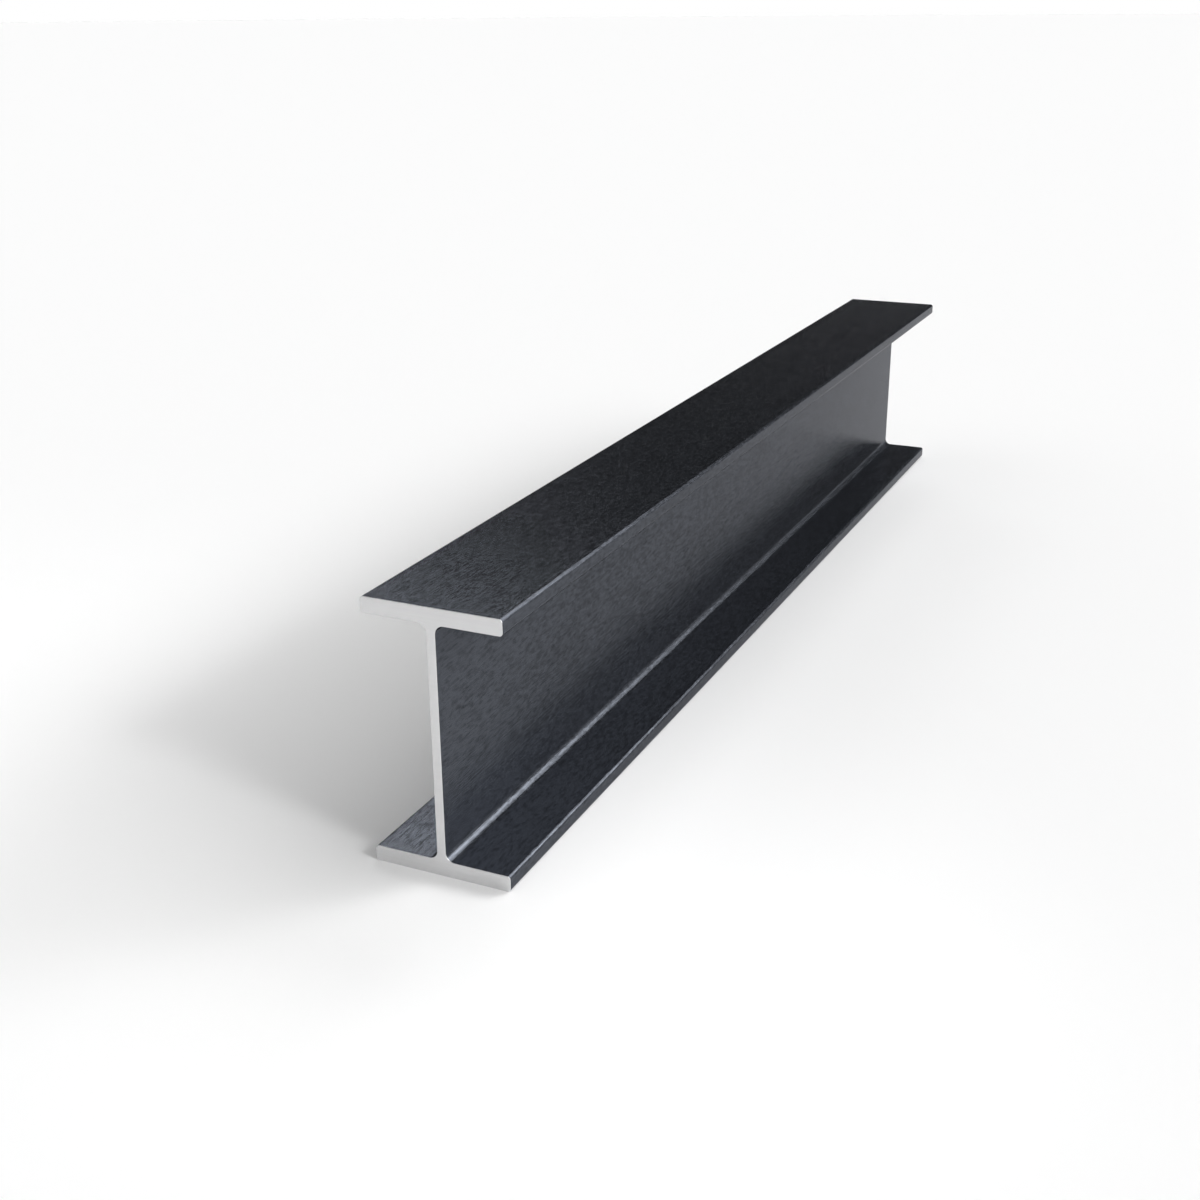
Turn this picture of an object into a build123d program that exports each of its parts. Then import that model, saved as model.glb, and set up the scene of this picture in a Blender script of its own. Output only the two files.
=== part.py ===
from build123d import *
import os

# A length of hot-rolled steel I-beam with parallel flanges, lying as it is used: web upright, on its lower flange.
# Millimetres. X runs along the beam, Y across the flanges, Z up from the underside of the lower flange.

# Rolled section
section_depth = 150.0  # over both flanges
flange_width = 80.0
flange_thickness = 9.0
web_thickness = 5.0
root_radius = 5.0  # inside corners, where the web runs into a flange
toe_radius = 2.0  # corners along the flange tips

# Stock length, between the two sawn ends
beam_length = 875.0


def section_outline():
    """The twelve corners of the section, seen along the beam, as (across, up) pairs."""
    tip = flange_width / 2
    web_face = web_thickness / 2
    lower_ledge = flange_thickness
    upper_ledge = section_depth - flange_thickness
    right_side = [
        (tip, 0),
        (tip, lower_ledge),
        (web_face, lower_ledge),
        (web_face, upper_ledge),
        (tip, upper_ledge),
        (tip, section_depth),
    ]
    left_side = [(-across, up) for across, up in reversed(right_side)]
    return right_side + left_side


def from_web_middle(corner):
    """How far a corner of the section lies to either side of the middle of the web."""
    return abs(corner.X)


def rolled_section():
    """The section with the radii that the rolls leave: hollow at the four roots, round along the flange tips."""
    with BuildSketch(Plane.YZ) as section:
        with BuildLine():
            Polyline(section_outline(), close=True)
        make_face()
        root_corners = section.vertices().group_by(from_web_middle)[0]
        fillet(root_corners, radius=root_radius)
        toe_corners = section.vertices().group_by(from_web_middle)[-1]
        fillet(toe_corners, radius=toe_radius)
    return section.sketch


def i_beam():
    """The section run both ways from mid-length and cut square at the ends."""
    return extrude(rolled_section(), amount=beam_length / 2, both=True)


os.makedirs("parts", exist_ok=True)
export_step(i_beam(), "parts/i_beam.step")
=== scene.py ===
import math

import bmesh
import bpy
from bpy.props import FloatProperty, FloatVectorProperty, IntProperty, PointerProperty
from bpy.types import NodeSocket, Operator, Panel, PropertyGroup
from mathutils import Matrix, Vector


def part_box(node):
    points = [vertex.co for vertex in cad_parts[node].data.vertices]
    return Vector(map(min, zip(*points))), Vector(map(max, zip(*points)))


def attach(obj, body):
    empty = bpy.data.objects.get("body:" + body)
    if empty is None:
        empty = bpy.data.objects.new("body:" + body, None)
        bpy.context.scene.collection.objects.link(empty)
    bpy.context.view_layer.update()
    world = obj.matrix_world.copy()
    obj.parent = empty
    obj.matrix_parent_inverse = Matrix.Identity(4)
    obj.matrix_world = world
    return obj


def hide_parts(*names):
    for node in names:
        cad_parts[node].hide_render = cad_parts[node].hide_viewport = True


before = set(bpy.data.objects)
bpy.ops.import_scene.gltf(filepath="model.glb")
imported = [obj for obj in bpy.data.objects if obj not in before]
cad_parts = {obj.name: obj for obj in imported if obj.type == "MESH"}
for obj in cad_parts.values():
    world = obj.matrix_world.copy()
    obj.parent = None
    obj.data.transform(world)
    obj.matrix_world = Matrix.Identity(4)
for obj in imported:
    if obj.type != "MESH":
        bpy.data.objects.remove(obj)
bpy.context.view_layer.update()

bl_info = {
    "name": "Steel I-beam",
    "version": (1, 0, 0),
    "blender": (4, 5, 0),
    "location": "3D View > Sidebar > I-beam",
    "description": "Makes a length of hot-rolled steel I-beam and a studio floor to show it on",
    "category": "Object",
}

BEAM_NODE = "i_beam"
BEAM_BODY = "root"

beam_low, beam_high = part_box(BEAM_NODE)
beam_size = beam_high - beam_low

MILLIMETRE = 0.001

# Order of the two materials on the beam
SKIN_INDEX = 0
SAWN_INDEX = 1

FLOOR_SIDES = 96

# Layers of finer noise within each pattern
STREAK_DETAIL = 4
GRAIN_DETAIL = 2
PATCH_DETAIL = 2
SAW_DETAIL = 2

# Stretch of the noise over which a finish goes from one of its limits to the other
SCALE_TONE_RANGE = (0.4, 0.6)
SCALE_GLOSS_RANGE = (0.35, 0.65)
SAWN_TONE_RANGE = (0.3, 0.7)

# Soft boxes that stand round the beam, each with a strength and a span
LAMPS = ("rim", "side", "front", "fill")


def degrees(*angles):
    """Angles given in degrees, in radians."""
    return [math.radians(angle) for angle in angles]


class RolledSection(PropertyGroup):
    """Sizes of the rolled section and of the length sawn from it."""

    length: FloatProperty(
        name="Length",
        description="Between the two sawn ends",
        default=beam_size.x,
        unit="LENGTH",
    )
    flange_width: FloatProperty(
        name="Flange width",
        description="Across each flange",
        default=beam_size.y,
        unit="LENGTH",
    )
    depth: FloatProperty(
        name="Depth",
        description="Over both flanges",
        default=beam_size.z,
        unit="LENGTH",
    )
    flange_thickness: FloatProperty(
        name="Flange thickness",
        description="Of each flange, the same from web to tip",
        default=9 * MILLIMETRE,
        unit="LENGTH",
    )
    web_thickness: FloatProperty(
        name="Web thickness",
        description="Of the upright web",
        default=5 * MILLIMETRE,
        unit="LENGTH",
    )
    root_radius: FloatProperty(
        name="Root radius",
        description="Of the inside corners, where the web runs into a flange",
        default=5 * MILLIMETRE,
        unit="LENGTH",
    )
    toe_radius: FloatProperty(
        name="Toe radius",
        description="Of the corners along the flange tips",
        default=2 * MILLIMETRE,
        unit="LENGTH",
    )
    arris: FloatProperty(
        name="Arris",
        description="Edge taken off round each sawn end",
        default=0.3 * MILLIMETRE,
        unit="LENGTH",
    )
    root_steps: IntProperty(name="Root steps", description="Flats in each root arc", default=14, min=2)
    toe_steps: IntProperty(name="Toe steps", description="Flats in each toe arc", default=8, min=2)
    arris_steps: IntProperty(name="Arris steps", description="Flats in each arris", default=2, min=1)


class MillSkin(PropertyGroup):
    """Finish of the rolled faces, which keep their dark mill scale."""

    dark_tone: FloatVectorProperty(
        name="Dark tone",
        description="Scale in the hollows of the grain",
        default=(0.04, 0.0435, 0.0507),
        subtype="COLOR",
        size=3,
    )
    pale_tone: FloatVectorProperty(
        name="Pale tone",
        description="Scale on the crests of the grain",
        default=(0.073, 0.0793, 0.0925),
        subtype="COLOR",
        size=3,
    )
    edge_tint: FloatVectorProperty(
        name="Edge tint",
        description="How much of its shine the scale keeps where it is seen at a low angle",
        default=(0.65, 0.65, 0.66),
        subtype="COLOR",
        size=3,
    )
    metal_share: FloatProperty(
        name="Metal share",
        description="Share of the scale that shines as metal, the rest being dull",
        default=0.8,
        subtype="FACTOR",
    )
    least_roughness: FloatProperty(
        name="Least roughness",
        description="Where the rolls left the scale smoothest",
        default=0.11,
        subtype="FACTOR",
    )
    most_roughness: FloatProperty(
        name="Most roughness",
        description="Where the scale is dullest",
        default=0.15,
        subtype="FACTOR",
    )
    streak_length: FloatProperty(
        name="Streak length",
        description="Of a streak that shows, along the beam",
        default=4.5 * MILLIMETRE,
        unit="LENGTH",
    )
    streak_width: FloatProperty(
        name="Streak width",
        description="Of a streak that shows, across the beam",
        default=1.6 * MILLIMETRE,
        unit="LENGTH",
    )
    streak_height: FloatProperty(
        name="Streak height",
        description="Of the streaks above the hollows between them",
        default=0.015 * MILLIMETRE,
        unit="LENGTH",
    )
    grain_length: FloatProperty(
        name="Grain length",
        description="Of the finest marks of the rolls, along the beam",
        default=24 * MILLIMETRE,
        unit="LENGTH",
    )
    grain_width: FloatProperty(
        name="Grain width",
        description="Of the finest marks of the rolls, across the beam",
        default=0.4 * MILLIMETRE,
        unit="LENGTH",
    )
    grain_height: FloatProperty(
        name="Grain height",
        description="Of the finest marks of the rolls",
        default=0.11 * MILLIMETRE,
        unit="LENGTH",
    )
    patch_length: FloatProperty(
        name="Patch length",
        description="Of a duller or brighter patch of scale, along the beam",
        default=70 * MILLIMETRE,
        unit="LENGTH",
    )
    patch_width: FloatProperty(
        name="Patch width",
        description="Of a duller or brighter patch of scale, across the beam",
        default=25 * MILLIMETRE,
        unit="LENGTH",
    )
    patch_share: FloatProperty(
        name="Patch share",
        description="How much the patches count in the tone, the rest being streaks",
        default=0.15,
        subtype="FACTOR",
    )
    # Painted light: within this length of each sawn end the scale is painted paler, standing in for the
    # glow of light on the near end.
    painted_glow_length: FloatProperty(
        name="Rubbed length",
        description="From each sawn end to where the scale is no longer rubbed paler",
        default=150 * MILLIMETRE,
        unit="LENGTH",
    )
    # Painted light: how much paler the scale is painted at the sawn ends, in place of the light that falls
    # there.
    painted_glow_share: FloatProperty(
        name="Rubbed share",
        description="How much paler the scale is at the sawn ends",
        default=0.08,
        subtype="FACTOR",
    )


class SawnSteel(PropertyGroup):
    """Finish of the two sawn ends, which are bare steel."""

    dark_tone: FloatVectorProperty(
        name="Dark tone",
        description="Bare steel in the hollows of the saw marks",
        default=(0.69, 0.69, 0.695),
        subtype="COLOR",
        size=3,
    )
    pale_tone: FloatVectorProperty(
        name="Pale tone",
        description="Bare steel on the crests of the saw marks",
        default=(0.71, 0.71, 0.715),
        subtype="COLOR",
        size=3,
    )
    roughness: FloatProperty(
        name="Roughness",
        description="Of the sawn face",
        default=0.5,
        subtype="FACTOR",
    )
    mark_length: FloatProperty(
        name="Mark length",
        description="Of a saw mark, across the beam",
        default=60 * MILLIMETRE,
        unit="LENGTH",
    )
    mark_pitch: FloatProperty(
        name="Mark pitch",
        description="From one saw mark to the next",
        default=1.2 * MILLIMETRE,
        unit="LENGTH",
    )
    mark_height: FloatProperty(
        name="Mark height",
        description="Of the saw marks",
        default=0.01 * MILLIMETRE,
        unit="LENGTH",
    )


class StudioStage(PropertyGroup):
    """Floor, light and camera."""

    floor_colour: FloatVectorProperty(
        name="Floor colour",
        description="Of the plain floor",
        default=(0.97, 0.97, 0.97),
        subtype="COLOR",
        size=3,
    )
    floor_radius: FloatProperty(
        name="Floor radius",
        description="From the beam to the floor's edge",
        default=40,
        unit="LENGTH",
    )
    backdrop_strength: FloatProperty(
        name="Backdrop strength",
        description="Of the pale backdrop beyond the floor's edge, where 1 is white",
        default=1,
    )
    backdrop_foot: FloatProperty(
        name="Backdrop foot",
        description="Height above the horizon up to which the backdrop is at its full strength",
        default=math.radians(0.3),
        subtype="ANGLE",
    )
    backdrop_head: FloatProperty(
        name="Backdrop head",
        description="Height above the horizon at which the backdrop has faded to the room",
        default=math.radians(2),
        subtype="ANGLE",
    )
    room_strength: FloatProperty(
        name="Room strength",
        description="Of the dim room above the backdrop",
        default=0.02,
    )
    key_strength: FloatProperty(
        name="Key strength",
        description="Of the large soft lamp beyond the far end",
        default=4.2,
    )
    key_span: FloatVectorProperty(
        name="Key span",
        description="First and last turn of that lamp about the beam, then its least and most angle to it",
        default=degrees(20, 110, 30.5, 60),
        unit="ROTATION",
        size=4,
    )
    rim_strength: FloatProperty(
        name="Rim strength",
        description="Of the lamp beyond the far end, on the other side",
        default=4.8,
    )
    rim_span: FloatVectorProperty(
        name="Rim span",
        description="First and last turn of that lamp, then the heights of its foot and head",
        default=degrees(-45, -25, 26, 35),
        unit="ROTATION",
        size=4,
    )
    side_strength: FloatProperty(
        name="Side strength",
        description="Of the low lamp that faces the web",
        default=6.8,
    )
    side_span: FloatVectorProperty(
        name="Side span",
        description="First and last turn of that lamp, then the heights of its foot and head",
        default=degrees(33, 115, 20, 34),
        unit="ROTATION",
        size=4,
    )
    front_strength: FloatProperty(
        name="Front strength",
        description="Of the high soft light behind the camera",
        default=0.6,
    )
    front_span: FloatVectorProperty(
        name="Front span",
        description="First and last turn of that lamp, then the heights of its foot and head",
        default=degrees(135, 270, 28, 60),
        unit="ROTATION",
        size=4,
    )
    fill_strength: FloatProperty(
        name="Fill strength",
        description="Of the low soft light all round but beyond the far end",
        default=0.45,
    )
    fill_span: FloatVectorProperty(
        name="Fill span",
        description="First and last turn of that lamp, then the heights of its foot and head",
        default=degrees(45, 315, 12, 28),
        unit="ROTATION",
        size=4,
    )
    wall_span: FloatVectorProperty(
        name="Wall span",
        description="First and last turn of the backdrop's taller part, then its foot and head",
        default=degrees(20, 310, -5, 9),
        unit="ROTATION",
        size=4,
    )
    lamp_edge: FloatProperty(
        name="Lamp edge",
        description="Half the width over which each lamp fades at its edges",
        default=math.radians(2),
        subtype="ANGLE",
    )
    spot_power: FloatProperty(
        name="Spot power",
        description="Of the small spot on the near end, in watts",
        default=20,
    )
    spot_place: FloatVectorProperty(
        name="Spot place",
        description="Of the small spot",
        default=(-0.75, -1.15, 0.85),
        subtype="TRANSLATION",
        size=3,
    )
    spot_cone: FloatProperty(
        name="Spot cone",
        description="Full angle of the small spot's cone",
        default=math.radians(24),
        subtype="ANGLE",
    )
    spot_size: FloatProperty(
        name="Spot size",
        description="Radius of the small spot's lamp",
        default=0.12,
        unit="LENGTH",
    )
    camera_place: FloatVectorProperty(
        name="Camera place",
        description="Of the lens",
        default=(-1.0332, -0.3662, 0.4242),
        subtype="TRANSLATION",
        size=3,
    )
    camera_aim: FloatVectorProperty(
        name="Camera aim",
        description="Point on the web's middle plane at the centre of the picture",
        default=(-0.2395, 0, 0.0831),
        subtype="TRANSLATION",
        size=3,
    )
    camera_roll: FloatProperty(
        name="Camera roll",
        description="Turn of the camera about its line of sight",
        default=math.radians(-0.425),
        subtype="ANGLE",
    )
    camera_lens: FloatProperty(
        name="Lens",
        description="Focal length in millimetres on a sensor 36 mm wide",
        default=46.22,
    )


def add_node(tree, kind, inputs=(), **settings):
    """Add a node, with its settings made and each input given a value or linked to a socket."""
    node = tree.nodes.new(kind)
    for name, value in settings.items():
        setattr(node, name, value)
    for name, value in dict(inputs).items():
        if isinstance(value, NodeSocket):
            tree.links.new(value, node.inputs[name])
        else:
            node.inputs[name].default_value = value
    return node


def new_material(name):
    """A new material with only its shader and its output, and its tree."""
    material = bpy.data.materials.new(name)
    material.use_nodes = True
    tree = material.node_tree
    tree.nodes.clear()
    shader = add_node(tree, "ShaderNodeBsdfPrincipled")
    add_node(tree, "ShaderNodeOutputMaterial", {"Surface": shader.outputs["BSDF"]})
    return material, tree, shader


def stretched_noise(tree, stretch, detail):
    """Noise whose lumps measure stretch metres along X, Y and Z."""
    place = add_node(tree, "ShaderNodeTexCoord").outputs["Object"]
    scale = [1 / size for size in stretch]
    mapping = add_node(tree, "ShaderNodeMapping", {"Vector": place, "Scale": scale})
    noise = add_node(
        tree,
        "ShaderNodeTexNoise",
        {"Vector": mapping.outputs["Vector"], "Scale": 1, "Detail": detail},
    )
    return noise.outputs["Fac"]


def lengthwise_noise(tree, length, width, detail):
    """Noise whose lumps lie along the beam."""
    return stretched_noise(tree, (length, width, width), detail)


def combined(tree, operation, first, second=0):
    """The result of a sum done on one value or on two."""
    node = add_node(tree, "ShaderNodeMath", operation=operation)
    for value, socket in zip((first, second), node.inputs):
        if isinstance(value, NodeSocket):
            tree.links.new(value, socket)
        else:
            socket.default_value = value
    return node.outputs["Value"]


def blend(tree, share, first, second):
    """The first value with a share of the second in it."""
    mix = add_node(tree, "ShaderNodeMix", {"Factor": share, "A": first, "B": second}, data_type="FLOAT")
    return mix.outputs["Result"]


def spread_between(tree, value, low, high, to_low, to_high):
    """A value from low to high, spread between two others."""
    spread = add_node(
        tree,
        "ShaderNodeMapRange",
        {"Value": value, "From Min": low, "From Max": high, "To Min": to_low, "To Max": to_high},
    )
    return spread.outputs["Result"]


def toned(tree, value, low, high, dark, pale):
    """A colour that goes from dark, where the value is low, to pale, where it is high."""
    ramp = add_node(tree, "ShaderNodeValToRGB", {"Fac": value})
    first, last = ramp.color_ramp.elements
    first.position = low
    first.color = (*dark, 1)
    last.position = high
    last.color = (*pale, 1)
    return ramp.outputs["Color"]


def painted_end_glow(tree, skin):
    """Painted light: how much paler the scale is painted, from nothing along the beam to most at the sawn
    ends, standing in for the glow of light on the near end.
    """
    place = add_node(tree, "ShaderNodeTexCoord").outputs["Object"]
    along = add_node(tree, "ShaderNodeSeparateXYZ", {"Vector": place}).outputs["X"]
    from_middle = combined(tree, "ABSOLUTE", along)
    begin = beam_high.x - skin.painted_glow_length
    return spread_between(tree, from_middle, begin, beam_high.x, 0, skin.painted_glow_share)


def mill_skin_material(skin):
    """Dark mill scale with fine streaks along the beam, left by the rolls."""
    material, tree, shader = new_material("mill_skin")
    streaks = lengthwise_noise(tree, skin.streak_length, skin.streak_width, STREAK_DETAIL)
    grain = lengthwise_noise(tree, skin.grain_length, skin.grain_width, GRAIN_DETAIL)
    patches = lengthwise_noise(tree, skin.patch_length, skin.patch_width, PATCH_DETAIL)
    mottle = blend(tree, skin.patch_share, streaks, patches)
    # Painted light: the paler sawn ends are added to the tone, so the painted glow lightens the colour and
    # raises the roughness a little there.
    tone = combined(tree, "ADD", mottle, painted_end_glow(tree, skin))
    colour = toned(tree, tone, *SCALE_TONE_RANGE, skin.dark_tone, skin.pale_tone)
    gloss = spread_between(tree, tone, *SCALE_GLOSS_RANGE, skin.least_roughness, skin.most_roughness)
    streak_relief = add_node(tree, "ShaderNodeBump", {"Height": streaks, "Distance": skin.streak_height})
    grain_relief = add_node(
        tree,
        "ShaderNodeBump",
        {"Height": grain, "Distance": skin.grain_height, "Normal": streak_relief.outputs["Normal"]},
    )
    tree.links.new(colour, shader.inputs["Base Color"])
    tree.links.new(gloss, shader.inputs["Roughness"])
    tree.links.new(grain_relief.outputs["Normal"], shader.inputs["Normal"])
    shader.inputs["Metallic"].default_value = skin.metal_share
    shader.inputs["Specular IOR Level"].default_value = 0
    shader.inputs["Specular Tint"].default_value = (*skin.edge_tint, 1)
    return material


def sawn_steel_material(sawn):
    """Bare pale steel with faint saw marks across the section."""
    material, tree, shader = new_material("sawn_steel")
    marks = stretched_noise(tree, (sawn.mark_pitch, sawn.mark_length, sawn.mark_pitch), SAW_DETAIL)
    colour = toned(tree, marks, *SAWN_TONE_RANGE, sawn.dark_tone, sawn.pale_tone)
    bump = add_node(tree, "ShaderNodeBump", {"Height": marks, "Distance": sawn.mark_height})
    tree.links.new(colour, shader.inputs["Base Color"])
    tree.links.new(bump.outputs["Normal"], shader.inputs["Normal"])
    shader.inputs["Metallic"].default_value = 1
    shader.inputs["Roughness"].default_value = sawn.roughness
    return material


def section_corners(section):
    """The twelve corners of the section in order, each across and up."""
    half_width = section.flange_width / 2
    half_web = section.web_thickness / 2
    under_top_flange = section.depth - section.flange_thickness
    right_side = [
        (half_width, 0),
        (half_width, section.flange_thickness),
        (half_web, section.flange_thickness),
        (half_web, under_top_flange),
        (half_width, under_top_flange),
        (half_width, section.depth),
    ]
    left_side = [(-across, up) for across, up in reversed(right_side)]
    return right_side + left_side


def round_edges(shape, edges, radius, steps):
    """Round edges to a radius."""
    bmesh.ops.bevel(
        shape,
        geom=edges,
        offset=radius,
        offset_type="OFFSET",
        affect="EDGES",
        segments=steps,
        profile=0.5,
        material=-1,
    )


def runs_lengthwise(edge):
    """Whether an edge runs from one end of the beam to the other."""
    first, second = edge.verts
    return first.co.x * second.co.x < 0


def lengthwise_edges(shape, nearest, furthest):
    """Edges along the beam that lie between two distances from the web's middle plane."""
    return [
        edge
        for edge in shape.edges
        if runs_lengthwise(edge) and nearest < abs(edge.verts[0].co.y) < furthest
    ]


def is_sawn(face):
    """Whether a face belongs to one of the two sawn ends."""
    return not any(runs_lengthwise(edge) for edge in face.edges)


def rolled_bar(section):
    """The beam as a closed shape: its section drawn out, its corners rounded and its ends eased."""
    shape = bmesh.new()
    near_end = -section.length / 2
    corners = [shape.verts.new((near_end, across, up)) for across, up in section_corners(section)]
    outline = shape.faces.new(corners)
    drawn = bmesh.ops.extrude_face_region(shape, geom=[outline])
    far_corners = [item for item in drawn["geom"] if isinstance(item, bmesh.types.BMVert)]
    bmesh.ops.translate(shape, verts=far_corners, vec=(section.length, 0, 0))
    bmesh.ops.recalc_face_normals(shape, faces=shape.faces)
    beside_web = section.flange_width / 4
    root_edges = lengthwise_edges(shape, 0, beside_web)
    toe_edges = lengthwise_edges(shape, beside_web, section.flange_width)
    round_edges(shape, root_edges, section.root_radius, section.root_steps)
    toe_edges = [edge for edge in toe_edges if edge.is_valid]
    round_edges(shape, toe_edges, section.toe_radius, section.toe_steps)
    ends = [face for face in shape.faces if is_sawn(face)]
    rims = [edge for face in ends for edge in face.edges]
    round_edges(shape, rims, section.arris, section.arris_steps)
    for face in shape.faces:
        face.smooth = True
        face.material_index = SAWN_INDEX if is_sawn(face) else SKIN_INDEX
    return shape


class RollBeam(Operator):
    """Make the rolled beam, with its mill skin and its sawn ends"""

    bl_idname = "object.roll_i_beam"
    bl_label = "Roll beam"

    def execute(self, context):
        scene = context.scene
        mesh = bpy.data.meshes.new("rolled_beam")
        shape = rolled_bar(scene.i_beam_section)
        shape.to_mesh(mesh)
        shape.free()
        mesh.materials.append(mill_skin_material(scene.i_beam_skin))
        mesh.materials.append(sawn_steel_material(scene.i_beam_sawn))
        beam = bpy.data.objects.new("rolled_beam", mesh)
        scene.collection.objects.link(beam)
        flats = beam.modifiers.new("true_flats", "WEIGHTED_NORMAL")
        flats.keep_sharp = True
        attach(beam, BEAM_BODY)
        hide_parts(BEAM_NODE)
        return {"FINISHED"}


def lay_floor(context, stage):
    """A plain pale floor."""
    shape = bmesh.new()
    bmesh.ops.create_circle(shape, cap_ends=True, radius=stage.floor_radius, segments=FLOOR_SIDES)
    mesh = bpy.data.meshes.new("studio_floor")
    shape.to_mesh(mesh)
    shape.free()
    material, _, shader = new_material("floor_paint")
    shader.inputs["Base Color"].default_value = (*stage.floor_colour, 1)
    shader.inputs["Roughness"].default_value = 1
    shader.inputs["Specular IOR Level"].default_value = 0
    mesh.materials.append(material)
    floor = bpy.data.objects.new("studio_floor", mesh)
    context.scene.collection.objects.link(floor)


def soft_box(tree, turn, height, span, strength, edge):
    """Brightness of a lamp in the surroundings that fades at its four edges."""
    first_turn, last_turn, foot, head = span
    middle = (first_turn + last_turn) / 2
    half_width = (last_turn - first_turn) / 2
    off_middle = combined(tree, "COSINE", combined(tree, "SUBTRACT", turn, middle))
    aside = combined(tree, "ARCCOSINE", off_middle)
    across = spread_between(tree, aside, half_width - edge, half_width + edge, 1, 0)
    above_foot = spread_between(tree, height, foot - edge, foot + edge, 0, 1)
    below_head = spread_between(tree, height, head - edge, head + edge, 1, 0)
    upright = combined(tree, "MULTIPLY", above_foot, below_head)
    return combined(tree, "MULTIPLY", combined(tree, "MULTIPLY", across, upright), strength)


def light_sky(context, stage):
    """A dim room with a pale backdrop round the floor and soft boxes above it."""
    world = bpy.data.worlds.new("studio_light")
    world.use_nodes = True
    tree = world.node_tree
    tree.nodes.clear()
    direction = add_node(tree, "ShaderNodeTexCoord").outputs["Generated"]
    parts = add_node(tree, "ShaderNodeSeparateXYZ", {"Vector": direction}).outputs
    to_camera_side = combined(tree, "MULTIPLY", parts["Y"], -1)
    turn = combined(tree, "ARCTAN2", to_camera_side, parts["X"])
    height = combined(tree, "ARCSINE", parts["Z"])
    backdrop = spread_between(
        tree,
        height,
        stage.backdrop_foot,
        stage.backdrop_head,
        stage.backdrop_strength,
        stage.room_strength,
    )
    wall = soft_box(tree, turn, height, stage.wall_span, stage.backdrop_strength, stage.lamp_edge)
    pale_sides = combined(tree, "MAXIMUM", backdrop, wall)
    about_beam = combined(tree, "ARCTAN2", parts["Z"], to_camera_side)
    off_beam = combined(tree, "ARCCOSINE", parts["X"])
    key = soft_box(tree, about_beam, off_beam, stage.key_span, stage.key_strength, stage.lamp_edge)
    brightness = combined(tree, "ADD", pale_sides, key)
    for name in LAMPS:
        span = getattr(stage, f"{name}_span")
        strength = getattr(stage, f"{name}_strength")
        lamp = soft_box(tree, turn, height, span, strength, stage.lamp_edge)
        brightness = combined(tree, "ADD", brightness, lamp)
    sky = add_node(tree, "ShaderNodeBackground", {"Color": (1, 1, 1, 1), "Strength": brightness})
    add_node(tree, "ShaderNodeOutputWorld", {"Surface": sky.outputs["Background"]})
    context.scene.world = world


def hang_spot(context, stage):
    """A small spot on the near end."""
    spot = bpy.data.lights.new("end_spot", "SPOT")
    spot.energy = stage.spot_power
    spot.spot_size = stage.spot_cone
    spot.spot_blend = 1
    spot.shadow_soft_size = stage.spot_size
    lamp = bpy.data.objects.new("end_spot", spot)
    place = Vector(stage.spot_place)
    near_end = Vector((beam_low.x, 0, beam_size.z / 2))
    turned = (near_end - place).to_track_quat("-Z", "Y").to_matrix()
    lamp.matrix_world = Matrix.Translation(place) @ turned.to_4x4()
    context.scene.collection.objects.link(lamp)


def place_camera(context, stage):
    """The camera, at the height and turn from which the beam is shown."""
    lens = bpy.data.cameras.new("studio_camera")
    lens.lens = stage.camera_lens
    lens.clip_end = 2 * stage.floor_radius
    camera = bpy.data.objects.new("studio_camera", lens)
    place = Vector(stage.camera_place)
    sight = Vector(stage.camera_aim) - place
    upright = sight.to_track_quat("-Z", "Y").to_matrix()
    rolled = upright @ Matrix.Rotation(stage.camera_roll, 3, "Z")
    camera.matrix_world = Matrix.Translation(place) @ rolled.to_4x4()
    context.scene.collection.objects.link(camera)
    context.scene.camera = camera


class SetStage(Operator):
    """Lay the floor, light it and place the camera"""

    bl_idname = "scene.set_i_beam_stage"
    bl_label = "Set stage"

    def execute(self, context):
        stage = context.scene.i_beam_stage
        lay_floor(context, stage)
        light_sky(context, stage)
        hang_spot(context, stage)
        place_camera(context, stage)
        context.scene.view_settings.view_transform = "Standard"
        return {"FINISHED"}


class BeamPanel(Panel):
    """Sizes, finishes and stage of the I-beam"""

    bl_idname = "VIEW3D_PT_i_beam"
    bl_label = "I-beam"
    bl_space_type = "VIEW_3D"
    bl_region_type = "UI"
    bl_category = "I-beam"

    def draw(self, context):
        for group_name in GROUPS:
            group = getattr(context.scene, group_name)
            box = self.layout.box()
            box.label(text=group.bl_rna.description)
            for prop_name in group.__annotations__:
                box.prop(group, prop_name)
        for operator in OPERATORS:
            self.layout.operator(operator.bl_idname)


GROUPS = {
    "i_beam_section": RolledSection,
    "i_beam_skin": MillSkin,
    "i_beam_sawn": SawnSteel,
    "i_beam_stage": StudioStage,
}
OPERATORS = (RollBeam, SetStage)
CLASSES = (*GROUPS.values(), *OPERATORS, BeamPanel)


def register():
    for each in CLASSES:
        bpy.utils.register_class(each)
    for name, group in GROUPS.items():
        setattr(bpy.types.Scene, name, PointerProperty(type=group))


def unregister():
    for name in GROUPS:
        delattr(bpy.types.Scene, name)
    for each in reversed(CLASSES):
        bpy.utils.unregister_class(each)


def main():
    register()
    bpy.ops.object.roll_i_beam()
    bpy.ops.scene.set_i_beam_stage()


if __name__ == "__main__":
    main()
